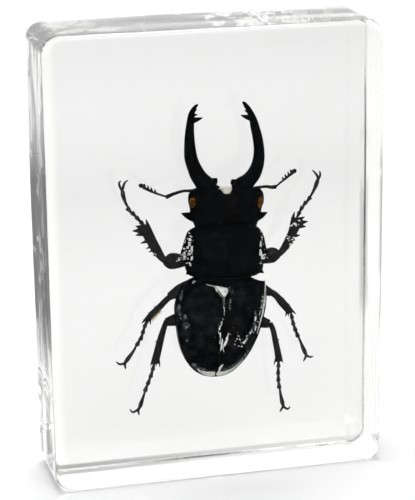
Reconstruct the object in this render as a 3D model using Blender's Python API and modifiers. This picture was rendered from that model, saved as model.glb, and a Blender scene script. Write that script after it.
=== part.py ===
"""Clear resin block: a thick slab with rounded corners, standing on its narrow bottom face.

Metres, +Z up. The origin is the middle of the bottom face. The front looks along -Y.
"""
import math

import bmesh
import bpy

# Driving dimensions
WIDTH = 0.082            # along X
HEIGHT = 0.1105          # along Z
THICKNESS = 0.023        # along Y, front face to back face
CORNER_RADIUS = 0.0048   # the four corners of the outline, seen from the front
RIM_RADIUS = 0.0015      # the polished edge round the front face and the back face

# How finely the round edges are divided
CORNER_SEGMENTS = 10
RIM_SEGMENTS = 4
SHARP_ANGLE = math.radians(40)   # the rims turn more than this, the corner facets less

COLLECTION_NAME = "insect_in_resin_block"


def clear_scene():
    for obj in list(bpy.data.objects):
        bpy.data.objects.remove(obj, do_unlink=True)


def clear_resin():
    """Water-clear casting resin with a polished surface."""
    material = bpy.data.materials.new("clear_resin")
    material.use_nodes = True
    shader = material.node_tree.nodes["Principled BSDF"]
    shader.inputs["Base Color"].default_value = (0.97, 0.98, 0.95, 1.0)
    shader.inputs["Roughness"].default_value = 0.02
    shader.inputs["Metallic"].default_value = 0.0
    shader.inputs["IOR"].default_value = 1.5
    shader.inputs["Transmission Weight"].default_value = 1.0
    return material


def slab_mesh():
    """A box at its real size, resting on Z = 0, whose four front-to-back edges take the corner radius."""
    bm = bmesh.new()
    bmesh.ops.create_cube(bm, size=1.0)
    bmesh.ops.scale(bm, vec=(WIDTH, THICKNESS, HEIGHT), verts=bm.verts)
    bmesh.ops.translate(bm, vec=(0.0, 0.0, HEIGHT / 2), verts=bm.verts)
    corner_weight = bm.edges.layers.float.new("bevel_weight_edge")
    for edge in bm.edges:
        start, end = edge.verts
        runs_front_to_back = abs(start.co.y - end.co.y) > THICKNESS / 2
        edge[corner_weight] = 1.0 if runs_front_to_back else 0.0
    mesh = bpy.data.meshes.new("resin_block")
    bm.to_mesh(mesh)
    bm.free()
    mesh.shade_smooth()
    return mesh


def add_corner_rounding(block):
    corners = block.modifiers.new("round the corners", 'BEVEL')
    corners.limit_method = 'WEIGHT'
    corners.width = CORNER_RADIUS
    corners.segments = CORNER_SEGMENTS


def add_rim_rounding(block):
    rims = block.modifiers.new("soften the rims", 'BEVEL')
    rims.limit_method = 'ANGLE'
    rims.angle_limit = SHARP_ANGLE
    rims.width = RIM_RADIUS
    rims.segments = RIM_SEGMENTS


def make_resin_block(collection):
    block = bpy.data.objects.new("resin_block", slab_mesh())
    collection.objects.link(block)
    add_corner_rounding(block)
    add_rim_rounding(block)
    block.modifiers.new("keep the faces flat", 'WEIGHTED_NORMAL')
    block.data.materials.append(clear_resin())
    return block


clear_scene()
parts = bpy.data.collections.new(COLLECTION_NAME)
bpy.context.scene.collection.children.link(parts)
make_resin_block(parts)
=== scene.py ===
import math

import bmesh
import bpy
import numpy as np
from mathutils import Matrix, Vector, noise
from mathutils.bvhtree import BVHTree


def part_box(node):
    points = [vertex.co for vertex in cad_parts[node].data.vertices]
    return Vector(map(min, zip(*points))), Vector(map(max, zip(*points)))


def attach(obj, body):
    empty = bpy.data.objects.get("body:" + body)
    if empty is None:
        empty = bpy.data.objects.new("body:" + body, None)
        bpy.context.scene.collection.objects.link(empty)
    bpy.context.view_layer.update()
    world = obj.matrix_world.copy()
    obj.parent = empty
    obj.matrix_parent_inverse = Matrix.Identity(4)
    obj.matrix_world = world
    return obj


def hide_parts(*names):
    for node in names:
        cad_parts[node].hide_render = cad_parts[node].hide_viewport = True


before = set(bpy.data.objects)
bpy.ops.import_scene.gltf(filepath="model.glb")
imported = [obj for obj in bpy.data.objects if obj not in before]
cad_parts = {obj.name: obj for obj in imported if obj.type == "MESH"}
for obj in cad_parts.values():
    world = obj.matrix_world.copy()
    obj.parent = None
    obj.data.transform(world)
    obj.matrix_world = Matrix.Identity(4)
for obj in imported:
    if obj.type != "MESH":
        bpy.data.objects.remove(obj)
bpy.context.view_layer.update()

# ---------------------------------------------------------------------------------------------
# Hind thorax. The barrel behind the waist that carries the wing cases and the two hind pairs of
# legs, one hard black shell. Seen only from below and at the waist. The beetle is modelled in
# millimetres in its own frame, x to its right, y to its head, z to its back, then set in the block.

MM = 0.001
WAIST = Vector((2.7, 1.0, 48.2))     # where the body's midline crosses the waist, in the block, mm
LEAN = math.radians(4.0)             # the head leans to the right, seen from the front
INTO_BLOCK = (
    Matrix.Translation(WAIST * MM)
    @ Matrix.Rotation(LEAN, 4, 'Y')
    @ Matrix.Rotation(math.radians(90), 4, 'X')
    @ Matrix.Scale(MM, 4)
)


class Signal:
    """An output of a shader node. Arithmetic on it adds Math nodes to its material."""

    def __init__(self, finish, output):
        self.finish = finish
        self.output = output

    def math(self, operation, *values):
        return self.finish.node("ShaderNodeMath", {"operation": operation}, dict(enumerate(values)))

    def __add__(self, other):
        return self.math('ADD', self, other)

    def __sub__(self, other):
        return self.math('SUBTRACT', self, other)

    def __rsub__(self, other):
        return self.math('SUBTRACT', other, self)

    def __mul__(self, other):
        return self.math('MULTIPLY', self, other)

    def __truediv__(self, other):
        return self.math('DIVIDE', self, other)

    def __abs__(self):
        return self.math('ABSOLUTE', self)

    __radd__ = __add__
    __rmul__ = __mul__

    def ramp(self, low, high):
        """0 at low, 1 at high, and a smooth step between."""
        settings = {"interpolation_type": 'SMOOTHSTEP'}
        return self.finish.node("ShaderNodeMapRange", settings, {0: self, 1: low, 2: high})

    def colours(self, *stops):
        """A colour for each value, from (position, colour) stops."""
        return self.finish.node("ShaderNodeValToRGB", {"stops": stops}, {0: self})


class Finish:
    """A material: a Principled shader, with whatever nodes feed it."""

    def __init__(self, name, **constants):
        self.material = bpy.data.materials.new(name)
        self.material.use_nodes = True
        self.tree = self.material.node_tree
        self.shader = self.tree.nodes["Principled BSDF"]
        self.set(**constants)

    def set(self, **sockets):
        for name, value in sockets.items():
            self.feed(self.shader.inputs[name.replace("_", " ")], value)

    def feed(self, socket, value):
        if isinstance(value, Signal):
            self.tree.links.new(value.output, socket)
        else:
            socket.default_value = value

    def node(self, kind, settings=None, inputs=None, output=0):
        node = self.tree.nodes.new(kind)
        for name, value in (settings or {}).items():
            if name == "stops":
                self.set_stops(node.color_ramp, value)
            else:
                setattr(node, name, value)
        for key, value in (inputs or {}).items():
            self.feed(node.inputs[key], value)
        return Signal(self, node.outputs[output])

    def set_stops(self, ramp, stops):
        while len(ramp.elements) < len(stops):
            ramp.elements.new(1.0)
        for element, (position, colour) in zip(ramp.elements, stops):
            element.position = position
            element.color = (*colour, 1.0)

    def place(self):
        """Where a point is on its piece, in metres."""
        return self.node("ShaderNodeTexCoord", output="Object")

    def noise(self, per_mm, detail=3.0):
        inputs = {"Vector": self.place(), "Scale": per_mm / MM, "Detail": detail}
        return self.node("ShaderNodeTexNoise", inputs=inputs)

    def cells(self, per_mm):
        inputs = {"Vector": self.place(), "Scale": per_mm / MM}
        return self.node("ShaderNodeTexVoronoi", inputs=inputs)

    def stored(self, name):
        """A value kept at each point of the mesh."""
        return self.node("ShaderNodeAttribute", {"attribute_name": name}, output="Fac")

    def over(self, below, share, colour):
        """A colour laid over another one, in places."""
        inputs = {0: share, 6: below, 7: (*colour, 1.0)}
        return self.node("ShaderNodeMix", {"data_type": 'RGBA'}, inputs, output=2)

    def relief(self, height, depth_mm):
        """A bump normal from a height of 0 to 1 that stands for depth_mm."""
        return self.node("ShaderNodeBump", inputs={"Height": height, "Distance": depth_mm * MM})


DUST = (0.03, 0.032, 0.036)


def black_cuticle(name, gloss, grain_mm, grain_depth_mm, bloom, tint=(0.0013, 0.0016, 0.0022)):
    """Black insect cuticle. Resin wets it, so it reflects little. It carries specks of dust, and
    bloom is how much greyer it is in cloudy patches."""
    finish = Finish(name, IOR=1.12)
    cloud = finish.noise(0.35, 4.0)
    pits = finish.cells(1.0 / grain_mm)
    lighter = tuple(2.2 * channel for channel in tint)
    specks = finish.cells(0.8).ramp(0.2, 0.1) * finish.noise(0.5).ramp(0.45, 0.6)
    grey = 0.45 * specks + bloom * finish.noise(0.5, 3.0).ramp(0.35, 0.75)
    finish.set(
        Base_Color=finish.over(cloud.colours((0.3, tint), (0.75, lighter)), grey, DUST),
        Roughness=gloss + 0.18 * cloud + 0.08 * pits,
        Normal=finish.relief(pits.ramp(0.0, 0.5) + 0.4 * finish.noise(2.5), grain_depth_mm),
    )
    return finish.material


def smooth_row(points, count):
    """count points, evenly spaced along a smooth curve through a few chosen ones."""
    points = np.array(points, float)
    at = np.concatenate(([0.0], np.cumsum(np.linalg.norm(np.diff(points, axis=0), axis=1))))
    slopes = np.gradient(points, at, axis=0)
    fine = np.linspace(0.0, at[-1], 12 * count)
    k = np.clip(np.searchsorted(at, fine, side="right") - 1, 0, len(points) - 2)
    gap = (at[k + 1] - at[k])[:, None]
    t = (fine - at[k])[:, None] / gap
    row = (
        (2 * t**3 - 3 * t**2 + 1) * points[k] + (t**3 - 2 * t**2 + t) * gap * slopes[k]
        + (3 * t**2 - 2 * t**3) * points[k + 1] + (t**3 - t**2) * gap * slopes[k + 1]
    )
    run = np.concatenate(([0.0], np.cumsum(np.linalg.norm(np.diff(row, axis=0), axis=1))))
    even = np.linspace(0.0, run[-1], count)
    return np.stack([np.interp(even, run, row[:, axis]) for axis in range(row.shape[1])], axis=1)


def smooth_values(values, count):
    """count values along a smooth curve through evenly spaced ones."""
    at = np.linspace(0.0, 1.0, len(values))
    row = smooth_row(np.stack([at, np.array(values, float) * 1e-3], axis=1), 8 * count)
    return np.interp(np.linspace(0.0, 1.0, count), row[:, 0], row[:, 1]) * 1e3


def skin(rings):
    """A closed mesh over a row of equal rings of points, each end drawn in to its middle."""
    bm = bmesh.new()
    rows = [[bm.verts.new(point) for point in ring] for ring in rings]
    around = len(rows[0])
    for row, following in zip(rows, rows[1:]):
        for i in range(around):
            j = (i + 1) % around
            bm.faces.new((row[i], row[j], following[j], following[i]))
    for row, order in ((rows[0], -1), (rows[-1], 1)):
        middle = bm.verts.new(np.mean([vert.co for vert in row], axis=0))
        for i in range(around):
            bm.faces.new((middle, row[i], row[(i + 1) % around])[::order])
    bmesh.ops.recalc_face_normals(bm, faces=bm.faces)
    mesh = bpy.data.meshes.new("skin")
    bm.to_mesh(mesh)
    bm.free()
    return mesh


def plate(left, right, top, bottom, edge=(0.0,), crown=(2.0, 0.5), belly=(2.0, 0.5), along=40, around=40):
    """A plate of cuticle between two margins. Its height rises from edge to top over the back and
    falls to bottom below; crown and belly are the powers that round each side off."""
    left = smooth_row(left, along)
    right = smooth_row(right, along)
    heights = [smooth_values(row if len(row) > 1 else row * 2, along) for row in (top, bottom, edge)]
    angles = np.linspace(0.0, 2 * math.pi, around, endpoint=False)
    across = np.cos(angles)
    rings = []
    for start, end, high, low, rim in zip(left, right, *heights):
        middle = (start + end) / 2
        half = (end - start) / 2
        ring = []
        for u, side in zip(across, np.sin(angles)):
            power, root = crown if side >= 0 else belly
            reach = (high if side >= 0 else low) - rim
            lift = rim + reach * max(0.0, 1 - abs(u) ** power) ** root
            ring.append((*(middle + half * u), lift))
        rings.append(ring)
    return skin(rings)


def rod(route, radii, along=40, around=16, flat=1.0):
    """A round or flattened rod along a route, with the given radii spread along it."""
    middles = smooth_row(route, along)
    widths = smooth_values(radii, along)
    ahead = np.gradient(middles, axis=0)
    upright = abs(Vector(ahead[0]).normalized().z) > 0.9
    side = Vector((1.0, 0.0, 0.0)) if upright else Vector((0.0, 0.0, 1.0))
    rings = []
    for middle, width, direction in zip(middles, widths, ahead):
        tangent = Vector(direction).normalized()
        side = (side - tangent * side.dot(tangent)).normalized()
        other = tangent.cross(side)
        ring = []
        for angle in np.linspace(0.0, 2 * math.pi, around, endpoint=False):
            offset = side * math.cos(angle) * flat + other * math.sin(angle)
            ring.append(Vector(middle) + offset * width)
        rings.append(ring)
    return skin(rings)


def reshape(mesh, move):
    """Moves each point of a mesh by a rule, as if the surface were worked."""
    for vertex in mesh.vertices:
        vertex.co += Vector(move(*vertex.co))
    return mesh


def joined(meshes):
    """One mesh of several, each still a closed body."""
    bm = bmesh.new()
    for mesh in meshes:
        bm.from_mesh(mesh)
    whole = bpy.data.meshes.new("joined")
    bm.to_mesh(whole)
    bm.free()
    return whole


def carried(mesh):
    """An object that carries a mesh while modifiers work on it."""
    carrier = bpy.data.objects.new("carrier", mesh)
    bpy.context.scene.collection.objects.link(carrier)
    return carrier


def worked(carrier):
    """The plain mesh that a carrier's modifiers make. The carrier has then done its work."""
    graph = bpy.context.evaluated_depsgraph_get()
    result = bpy.data.meshes.new_from_object(carrier.evaluated_get(graph))
    bpy.data.objects.remove(carrier)
    return result


def evaluated(mesh, *modifiers):
    """A copy of a mesh after some modifiers, each given as its type and its settings."""
    carrier = carried(mesh)
    for kind, settings in modifiers:
        modifier = carrier.modifiers.new(kind, kind)
        for name, value in settings.items():
            setattr(modifier, name, value)
    return worked(carrier)


def fused(meshes, grain, passes=3):
    """Overlapping closed meshes grown into one skin, with soft hollows where they meet."""
    remesh = ('REMESH', {"mode": 'VOXEL', "voxel_size": grain})
    smooth = ('SMOOTH', {"factor": 0.5, "iterations": passes})
    return evaluated(joined(meshes), remesh, smooth)


SKINS = {}          # the surface of each piece in millimetres, for what lies on it


def set_in_resin(name, mesh, material):
    """Puts a finished mesh where the beetle lies in the block, as a named piece of its own."""
    points = [vertex.co.copy() for vertex in mesh.vertices]
    SKINS[name] = BVHTree.FromPolygons(points, [tuple(face.vertices) for face in mesh.polygons])
    mesh.transform(INTO_BLOCK)
    mesh.shade_smooth()
    mesh.materials.clear()
    mesh.materials.append(material)
    piece = bpy.data.objects.new(name, mesh)
    bpy.context.scene.collection.objects.link(piece)
    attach(piece, "root")
    return piece


def mirrored(points):
    """The same points on the other side of the midline."""
    return [(-point[0], *point[1:]) for point in points]


SATIN = black_cuticle("satin black cuticle", gloss=0.34, grain_mm=0.11, grain_depth_mm=0.02, bloom=0.1)

THORAX_EDGE = [(5.2, 0.9), (8.4, -0.9), (10.0, -3.2), (10.3, -6.5), (9.9, -10.0)]


def swell(value, middle, width):
    """1 in the middle of a soft swelling, and next to nothing at twice its width from there."""
    return math.exp(-((value - middle) / width) ** 2)


def breastplate_groove(x, y, z):
    """A shallow groove down the middle of the underside, and a swelling at each side of it."""
    if z > -1.0:
        return (0.0, 0.0, 0.0)
    groove = 0.3 * swell(x, 0.0, 0.35)
    swelling = 0.35 * swell(abs(x), 3.4, 1.6) * swell(y, -6.0, 2.6)
    return (0.0, 0.0, groove - swelling)


hind_thorax = plate(
    mirrored(THORAX_EDGE), THORAX_EDGE, top=(1.6, 1.8, 1.4, 1.2), bottom=(-2.2, -4.0, -4.6, -4.5, -4.3),
    edge=(-0.6,), belly=(3.0, 0.55), along=90, around=96,
)
reshape(hind_thorax, breastplate_groove)
set_in_resin("hind_thorax", hind_thorax, SATIN)

# ---------------------------------------------------------------------------------------------
# Abdomen. Five hard plates show below, each with its hind edge over the next one, and the soft
# upper side is hidden under the wing cases.

ABDOMEN_EDGE = [
    (9.7, -9.0), (9.8, -11.0), (9.3, -14.0), (8.3, -17.4), (6.6, -20.7), (4.3, -23.1), (1.6, -24.4),
    (0.3, -24.6),
]
BELLY_SEAMS = (-8.8, -11.9, -14.4, -16.9, -19.6, -25.0)
SEAM_STEP = 0.2
SEAM_BOW = 0.014                  # how much the seams curve forward towards the sides


def belly_steps(x, y, z):
    """Each belly plate swells towards its hind edge, then steps back under it."""
    bowed = y - SEAM_BOW * x * x
    step = 0.0
    for front, back in zip(BELLY_SEAMS, BELLY_SEAMS[1:]):
        if back < bowed <= front:
            step = SEAM_STEP * ((front - bowed) / (front - back)) ** 2
    fade = min(1.0, max(0.0, (-0.9 - z) / 1.2))
    return (0.0, 0.0, -step * fade)


abdomen = plate(
    mirrored(ABDOMEN_EDGE), ABDOMEN_EDGE, top=(1.2, 1.4, 1.0, 0.2),
    bottom=(-4.3, -4.4, -4.0, -3.0, -1.4), edge=(-0.7, -0.7, -0.5), belly=(2.6, 0.6),
    along=230, around=96,
)
reshape(abdomen, belly_steps)
set_in_resin("abdomen", abdomen, SATIN)

# ---------------------------------------------------------------------------------------------
# Wing cases. Two thin domed shells of glossy black cuticle that meet down the middle. Each has a
# beaded outer edge, a rolled front edge and a flange that turns in under the flank.

GLOSS = black_cuticle("glossy black cuticle", gloss=0.1, grain_mm=0.4, grain_depth_mm=0.004, bloom=0.35)

SHELL_THICKNESS = 0.3
SEAM_TOP = (0.3, -4.9)           # the point of the shield between the wing cases
TAIL = (-0.6, -25.1)
SEAM_GAP = 0.05
RIGHT_BASE = [SEAM_TOP, (1.3, -3.4), (2.2, -1.9), (4.4, -1.0), (7.6, -0.6), (10.9, -1.2)]
RIGHT_EDGE = [
    (10.9, -1.2), (11.3, -3.2), (11.6, -6.0), (11.4, -8.8), (10.9, -11.3), (10.3, -14.1), (9.4, -16.7),
    (8.1, -19.4), (6.2, -22.0), (4.0, -24.1), (1.7, -25.05), TAIL,
]
LEFT_BASE = [SEAM_TOP, (-0.9, -3.3), (-2.2, -1.6), (-4.6, -0.8), (-7.4, -0.9), (-9.8, -2.0)]
LEFT_EDGE = [
    (-9.8, -2.0), (-10.8, -4.2), (-11.45, -7.4), (-11.3, -9.4), (-11.0, -11.3), (-10.55, -13.8),
    (-9.9, -16.5), (-8.9, -19.2), (-7.2, -22.0), (-5.2, -24.0), (-2.9, -25.05), TAIL,
]
DOME = (2.7, 3.7, 4.2, 4.3, 4.0, 3.4, 2.4, 1.1)         # height of the seam, from the shield to the tail
DOME_EDGE = -0.5
DOME_POWER = 2.4
FRONT_ROLL = 2.2                  # how far behind its front edge a case is still rising
FRONT_HEIGHT = 0.6                # share of the dome's height that its front edge has
FLANGE = ((0.06, -0.22), (-0.25, -0.55), (-0.9, -0.8))  # outwards and up, from the beaded edge
FLANGE_HEART = -9.0               # where on the midline the flange points away from
FLANGE_SQUASH = 0.6
FLANGE_FADE = 3.0                 # how near to the tail it starts to narrow
ROW_CROWDING = 1.15               # how much closer the rows of points lie towards the base
LAST_ROW = 0.9995                 # the last one stops just short of the tail, where they would all meet
OUTLINE_POINTS = 200


class WingCase:
    """The shape of one wing case: where its seam, edge and back are."""

    def __init__(self, side, base, edge):
        self.side = side
        self.base = smooth_row(base, OUTLINE_POINTS)
        self.edge = smooth_row(edge, 2 * OUTLINE_POINTS)
        seam_start = Vector(base[0])
        self.seam = np.linspace(seam_start, TAIL, OUTLINE_POINTS) + (side * SEAM_GAP, 0.0)
        self.dome = smooth_values(DOME, OUTLINE_POINTS)

    def plan(self, u, v):
        """The point u of the way from seam to edge and v of the way from base to tail."""
        along_base = self.sample(self.base, u)
        along_seam = self.sample(self.seam, v)
        along_edge = self.sample(self.edge, v)
        tail = np.array(TAIL)
        corners = (1 - v) * ((1 - u) * self.base[0] + u * self.base[-1]) + v * tail
        return (1 - v) * along_base + v * tail + (1 - u) * along_seam + u * along_edge - corners

    def sample(self, row, share):
        at = share * (len(row) - 1)
        k = min(int(at), len(row) - 2)
        return row[k] + (row[k + 1] - row[k]) * (at - k)

    def height(self, x, y):
        """How high the shell stands over a point of the plan."""
        seam_x = np.interp(-y, -self.seam[:, 1], self.seam[:, 0])
        edge_x = np.interp(-y, -self.edge[:, 1], self.edge[:, 0])
        out = self.side * (x - seam_x)
        width = max(1e-6, self.side * (edge_x - seam_x))
        share = min(1.0, max(0.0, out / width))
        down_seam = (SEAM_TOP[1] - y) / (SEAM_TOP[1] - TAIL[1])
        crest = np.interp(down_seam, np.linspace(0, 1, OUTLINE_POINTS), self.dome)
        front_y = np.interp(self.side * x, self.side * self.base[:, 0], self.base[:, 1])
        risen = min(1.0, max(0.0, (front_y - y) / FRONT_ROLL))
        crest *= FRONT_HEIGHT + (1 - FRONT_HEIGHT) * math.sin(risen * math.pi / 2)
        seam_bead = 0.06 * swell(out, 0.25, 0.14)
        edge_bead = 0.16 * swell(width - out, 0.14, 0.12)
        edge_gutter = -0.1 * swell(width - out, 0.5, 0.22)
        rise = (crest - DOME_EDGE) * (1 - share ** DOME_POWER) ** 0.5
        return DOME_EDGE + rise + seam_bead + edge_bead + edge_gutter


def wing_case_mesh(case, across=60, along=120):
    """The shell as a sheet with its flange, then given its thickness inwards."""
    bm = bmesh.new()
    rows = []
    for v in np.linspace(0.0, 1.0, along) ** ROW_CROWDING:
        row = []
        for u in np.sin(np.linspace(0.0, math.pi / 2, across)):
            x, y = case.plan(u, min(v, LAST_ROW))
            row.append(bm.verts.new((x, y, case.height(x, y))))
        edge = row[-1].co.copy()
        outwards = Vector((edge.x, (edge.y - FLANGE_HEART) * FLANGE_SQUASH, 0.0)).normalized()
        for out, up in FLANGE:
            shrink = min(1.0, (edge - Vector((*TAIL, 0.0))).length / FLANGE_FADE)
            row.append(bm.verts.new(edge + outwards * out * shrink + Vector((0.0, 0.0, up))))
        rows.append(row)
    for row, following in zip(rows, rows[1:]):
        for i in range(len(row) - 1):
            face = (row[i], row[i + 1], following[i + 1], following[i])
            bm.faces.new(face[::-1] if case.side > 0 else face)
    mesh = bpy.data.meshes.new("wing case")
    bm.to_mesh(mesh)
    bm.free()
    solidify = ('SOLIDIFY', {"thickness": SHELL_THICKNESS, "offset": -1.0, "use_rim": True})
    return evaluated(mesh, solidify)


LEFT_CASE = WingCase(-1, LEFT_BASE, LEFT_EDGE)
RIGHT_CASE = WingCase(1, RIGHT_BASE, RIGHT_EDGE)
set_in_resin("wing_case_left", wing_case_mesh(LEFT_CASE), GLOSS)
set_in_resin("wing_case_right", wing_case_mesh(RIGHT_CASE), GLOSS)

# ---------------------------------------------------------------------------------------------
# Shield and waist. A small triangle of hard black cuticle between the bases of the wing cases, on
# the same ring of the body that they hinge from, and the narrow neck of that ring in front of it.

shield = plate(
    [(-2.4, -0.6), (-2.0, -1.7), (-0.9, -3.3), (0.2, -4.8)],
    [(2.4, -0.9), (2.0, -2.0), (1.3, -3.4), (0.4, -4.8)],
    top=(1.9, 2.3, 2.7, 2.9), bottom=(0.8,), edge=(1.4, 1.7, 2.3, 2.6), crown=(3.0, 0.5),
)
waist = plate(
    [(-5.6, 1.6), (-6.3, 0.2), (-7.6, -1.0), (-7.8, -2.4)],
    [(5.8, 1.5), (6.6, 0.1), (7.6, -1.0), (7.8, -2.4)],
    top=(1.0, 1.5, 1.7, 1.2), bottom=(-2.0, -2.8), edge=(-0.4,), crown=(3.0, 0.6), around=64,
)
set_in_resin("shield", shield, SATIN)
set_in_resin("waist", waist, SATIN)

# ---------------------------------------------------------------------------------------------
# Fore thorax. One hard ring behind the head: a broad shield on top with a toothed side edge,
# turned under to the breast, where the front legs leave it.


def thorn(base, tip, radius, bend=(0.0, 0.0, 0.0), along=14, around=12):
    """A pointed spine or tooth of cuticle, bowed by bend at its middle."""
    base, tip = Vector(base), Vector(tip)
    middle = (base + tip) / 2 + Vector(bend)
    return rod([base, middle, tip], (radius, radius * 0.72, radius * 0.1), along, around)


FORE_LEFT = [
    (-6.2, -0.1), (-8.4, 0.6), (-9.2, 1.9), (-9.6, 3.6), (-10.7, 5.6), (-10.3, 7.6), (-9.9, 9.4),
    (-9.2, 11.4), (-7.7, 12.5), (-6.3, 13.2),
]
FORE_RIGHT = [
    (6.2, -0.1), (8.7, 0.4), (10.0, 1.5), (10.3, 3.6), (10.9, 6.0), (10.4, 8.3), (9.8, 10.3),
    (9.0, 11.7), (7.9, 12.6), (6.4, 13.3),
]


def thorax_relief(x, y, z):
    """A faint furrow down the back and two shallow dimples beside it."""
    if z < 0.5:
        return (0.0, 0.0, 0.0)
    furrow = -0.18 * swell(x, 0.0, 0.7) * swell(y, 6.0, 4.5)
    dimples = -0.3 * swell(abs(x), 5.6, 1.3) * swell(y, 8.3, 1.2)
    return (0.0, 0.0, furrow + dimples)


fore_thorax = plate(
    FORE_LEFT, FORE_RIGHT, top=(1.9, 3.4, 4.1, 4.4, 4.3, 3.6, 2.4),
    bottom=(-2.4, -3.4, -4.3, -4.4, -3.6, -2.6), edge=(-0.3, -0.3, 0.0),
    crown=(2.4, 0.75), belly=(2.6, 0.7), along=110, around=120,
)
reshape(fore_thorax, thorax_relief)
fore_thorax = fused(
    [
        fore_thorax,
        thorn((-8.0, 1.5, -0.3), (-9.1, 0.7, -0.4), 0.7),
        thorn((8.9, 1.7, -0.3), (10.6, 0.8, -0.4), 0.75),
    ],
    grain=0.14, passes=2,
)
set_in_resin("fore_thorax", fore_thorax, SATIN)

# ---------------------------------------------------------------------------------------------
# Head. A broad flat capsule of black cuticle, hollowed between two ridges at the front, with a
# thorn behind each eye.

HEAD_LEFT = [
    (-6.9, 11.3), (-7.7, 12.9), (-8.2, 14.1), (-8.8, 15.6), (-9.1, 17.2), (-9.6, 19.2), (-9.5, 20.8),
    (-8.5, 21.9), (-5.6, 22.0), (-2.6, 21.7),
]
HEAD_RIGHT = [
    (6.9, 11.3), (7.8, 12.7), (8.2, 14.0), (8.6, 15.6), (8.8, 17.2), (9.1, 19.1), (9.0, 20.8),
    (8.2, 21.9), (5.2, 22.1), (1.9, 21.7),
]


def head_relief(x, y, z):
    """The hollow brow with a ridge on each side, the notch at the lip and the groove at the neck."""
    notch = -0.3 * max(0.0, y - 18.0) * math.exp(-(((x + 0.2) / 1.5) ** 4))
    if z < 0.0:
        return (0.0, notch, 0.25 * swell(x, 0.0, 0.5))
    brow = -1.0 * swell(x, 0.0, 4.2) * swell(y, 20.9, 2.4)
    ridge = 0.45 * swell(abs(x) - 0.25 * (y - 18.5), 5.9, 0.7) * swell(y, 19.4, 2.2)
    neck = -0.25 * swell(y, 13.4, 0.5)
    return (0.0, notch, brow + ridge + neck)


head = plate(
    HEAD_LEFT, HEAD_RIGHT, top=(2.2, 2.9, 3.1, 3.0, 2.6, 1.9, 1.1),
    bottom=(-2.2, -2.7, -2.8, -2.6, -2.2, -1.6), edge=(0.0, 0.0, 0.1, 0.1),
    crown=(3.2, 0.6), belly=(2.6, 0.6), along=110, around=120,
)
reshape(head, head_relief)
head = fused(
    [
        head,
        thorn((-7.9, 14.9, 0.0), (-11.1, 16.0, 0.1), 1.15, bend=(0.0, -0.05, 0.0)),
        thorn((7.7, 14.9, 0.0), (10.3, 16.1, 0.1), 1.1, bend=(0.0, -0.05, 0.0)),
        rod([(-8.6, 17.0, 0.2), (-9.3, 18.8, 0.3), (-9.2, 20.6, 0.2)], (0.25, 0.3, 0.35)),
        rod([(8.4, 17.0, 0.2), (8.9, 18.8, 0.3), (8.7, 20.6, 0.2)], (0.25, 0.3, 0.35)),
    ],
    grain=0.13, passes=2,
)
set_in_resin("head", head, SATIN)

# ---------------------------------------------------------------------------------------------
# Jaws. Two long curved horns of solid cuticle, each with a lobe at its root, a strong tooth near
# its end and a few small ones beyond.

LEFT_JAW_OUTSIDE = [
    (-6.6, 19.6), (-7.2, 21.2), (-8.1, 22.7), (-9.3, 24.6), (-10.2, 26.7), (-11.0, 29.1),
    (-11.25, 32.2), (-11.25, 35.2), (-11.0, 37.9), (-10.7, 39.9), (-10.0, 41.4), (-9.1, 42.3),
    (-8.5, 42.55),
]
LEFT_JAW_INSIDE = [
    (-2.6, 19.4), (-1.9, 20.8), (-2.7, 22.8), (-3.7, 24.3), (-5.3, 25.6), (-6.7, 27.4), (-7.8, 29.6),
    (-8.5, 32.4), (-8.95, 35.4), (-9.1, 38.0), (-9.1, 39.9), (-8.85, 41.2), (-8.3, 42.2),
]
RIGHT_JAW_OUTSIDE = [
    (5.2, 19.8), (5.8, 21.3), (6.6, 22.8), (7.6, 24.2), (8.4, 26.3), (8.75, 28.9), (8.55, 31.6),
    (7.95, 34.4), (7.1, 36.9), (6.2, 39.1), (5.05, 41.0), (3.8, 42.5), (2.8, 43.2), (2.35, 43.15),
]
RIGHT_JAW_INSIDE = [
    (1.5, 19.4), (0.8, 20.8), (1.0, 22.8), (2.0, 24.3), (3.7, 25.3), (5.1, 27.0), (5.8, 29.2),
    (5.9, 31.5), (5.4, 34.4), (4.7, 37.1), (4.3, 38.9), (3.6, 40.6), (2.9, 41.9), (2.3, 42.8),
]
JAW_BACK = (0.9, 1.85, 1.65, 1.4, 1.15, 0.9, 0.45, 0.1)
JAW_BELLY = (-1.5, -1.6, -1.4, -1.1, -0.9, -0.7, -0.45, -0.1)
JAW_ROUND = (2.4, 0.55)


def jaw(outside, inside, teeth):
    """A jaw between its two sides, with its teeth grown on."""
    horn = plate(
        outside, inside, JAW_BACK, JAW_BELLY, crown=JAW_ROUND, belly=JAW_ROUND, along=140, around=48,
    )
    return fused([horn] + teeth, grain=0.085, passes=2)


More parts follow.
